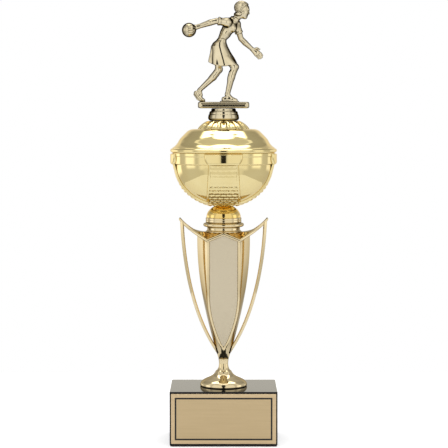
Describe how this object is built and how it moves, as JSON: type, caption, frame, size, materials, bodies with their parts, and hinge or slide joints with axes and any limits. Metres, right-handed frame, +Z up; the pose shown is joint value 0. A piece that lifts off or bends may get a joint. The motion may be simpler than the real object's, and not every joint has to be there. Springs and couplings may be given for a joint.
{
  "type": "bowling trophy",
  "caption": "Tiered cup trophy: polished block with a blank plate, winged riser with thin handles, lidded bowl, fluted collar and a bowler figure on top.",
  "frame": {"origin": "centre of the underside of the felt sheet under the block", "axes": "+Z up through the bolt and the rod, front plate towards -Y, +X towards the side that the bowler faces"},
  "size_m": [0.0762, 0.0762, 0.3145],
  "materials": {
    "black_stone": "polished",
    "dark_felt": "felted",
    "satin_gold_plate": "satin, gold anodised",
    "white_tape": "matt",
    "zinc_steel": "zinc plated",
    "brass_insert": "machined",
    "pale_gold": "mirror gold metallised plastic",
    "satin_tan": "satin, fine grain",
    "bright_gold": "mirror gold metallised plastic",
    "figure_gold": "mirror antique gold metallised plastic"
  },
  "bodies": {
    "base": {"base_block": "black_stone", "base_felt": "dark_felt", "name_plate": "satin_gold_plate", "plate_tape": "white_tape", "base_bolt": "zinc_steel", "flat_washer": "zinc_steel", "lock_washer": "zinc_steel"},
    "riser": {"riser_foot": "pale_gold", "riser_front_shell": "pale_gold", "riser_back_shell": "pale_gold", "front_panel": "satin_tan", "back_panel": "satin_tan", "left_handle": "pale_gold", "right_handle": "pale_gold", "riser_cap": "pale_gold", "riser_collar": "pale_gold", "foot_insert": "brass_insert", "collar_insert": "brass_insert", "tie_rod": "zinc_steel"},
    "bowl": {"bowl_foot": "bright_gold", "bowl_shell": "bright_gold", "bowl_lid": "bright_gold", "fluted_collar": "bright_gold"},
    "figure": {"figure_base": "figure_gold", "figure_deck": "figure_gold", "bowler_figure": "figure_gold", "bowling_ball": "figure_gold", "figure_insert": "brass_insert"}
  },
  "joints": [
    {"name": "riser_turn", "type": "hinge", "parent": "base", "child": "riser", "pos_m": [0, 0, 0.0389], "axis": [0, 0, 1], "continuous": true},
    {"name": "bowl_turn", "type": "hinge", "parent": "riser", "child": "bowl", "pos_m": [0, 0, 0.1568], "axis": [0, 0, 1], "continuous": true},
    {"name": "figure_turn", "type": "hinge", "parent": "bowl", "child": "figure", "pos_m": [0, 0, 0.2293], "axis": [0, 0, 1], "continuous": true}
  ]
}
